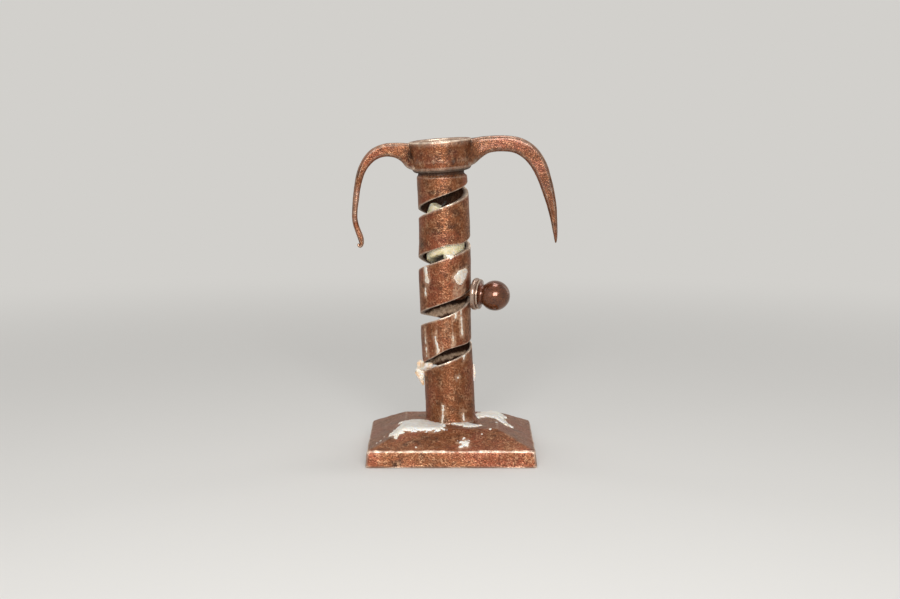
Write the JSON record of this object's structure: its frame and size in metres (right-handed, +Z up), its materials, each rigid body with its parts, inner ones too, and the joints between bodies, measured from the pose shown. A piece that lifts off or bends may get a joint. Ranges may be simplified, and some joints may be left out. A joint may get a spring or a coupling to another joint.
{
  "type": "spiral candle holder",
  "caption": "Upright iron candle tube with a spiral slot and a turning knob that lifts the candle, on a square foot, with a hook and a spike at the mouth.",
  "frame": {"origin": "middle of the square foot's underside, on the surface it stands on", "axes": "+Z up, +X towards the spike arm, -Y towards the viewer of the picture; the tube leans 2.3 degrees towards -X"},
  "size_m": [0.1254, 0.102, 0.1947],
  "materials": {
    "wrought_iron": "forged, oiled brown rust patina",
    "dark_iron": "dull dark oxide",
    "knob_iron": "turned and rubbed smooth by use",
    "tallow_candle": "waxy, slightly translucent",
    "spilled_wax": "waxy, slightly translucent",
    "burnt_cotton": "charred cotton"
  },
  "bodies": {
    "holder": {"base_plate": "wrought_iron", "foot_plug": "dark_iron", "column": "wrought_iron", "collar": "wrought_iron", "hook_arm": "wrought_iron", "spike_arm": "wrought_iron", "wax_lump": "spilled_wax", "wax_run": "spilled_wax", "wax_spill_left": "spilled_wax", "wax_spill_right": "spilled_wax", "wax_spill_back": "spilled_wax", "wax_spot": "spilled_wax"},
    "candle": {"candle_stub": "tallow_candle", "wick": "burnt_cotton"},
    "pusher": {"pusher_disc": "dark_iron", "pusher_stud": "dark_iron", "slot_washer": "knob_iron", "knob": "knob_iron"}
  },
  "joints": [
    {"name": "candle_lift", "type": "slide", "parent": "holder", "child": "candle", "axis": [-0.0401, 0, 0.9992], "range_m": [-0.04, 0.062]},
    {"name": "knob_turn", "type": "hinge", "parent": "candle", "child": "pusher", "pos_m": [0, 0, 0.02], "axis": [-0.0401, 0, 0.9992], "range_deg": [-459.6, 712.2]}
  ],
  "couplings": [
    {"joint": "knob_turn", "follows": "candle_lift", "rad_per_m": 200.42}
  ]
}
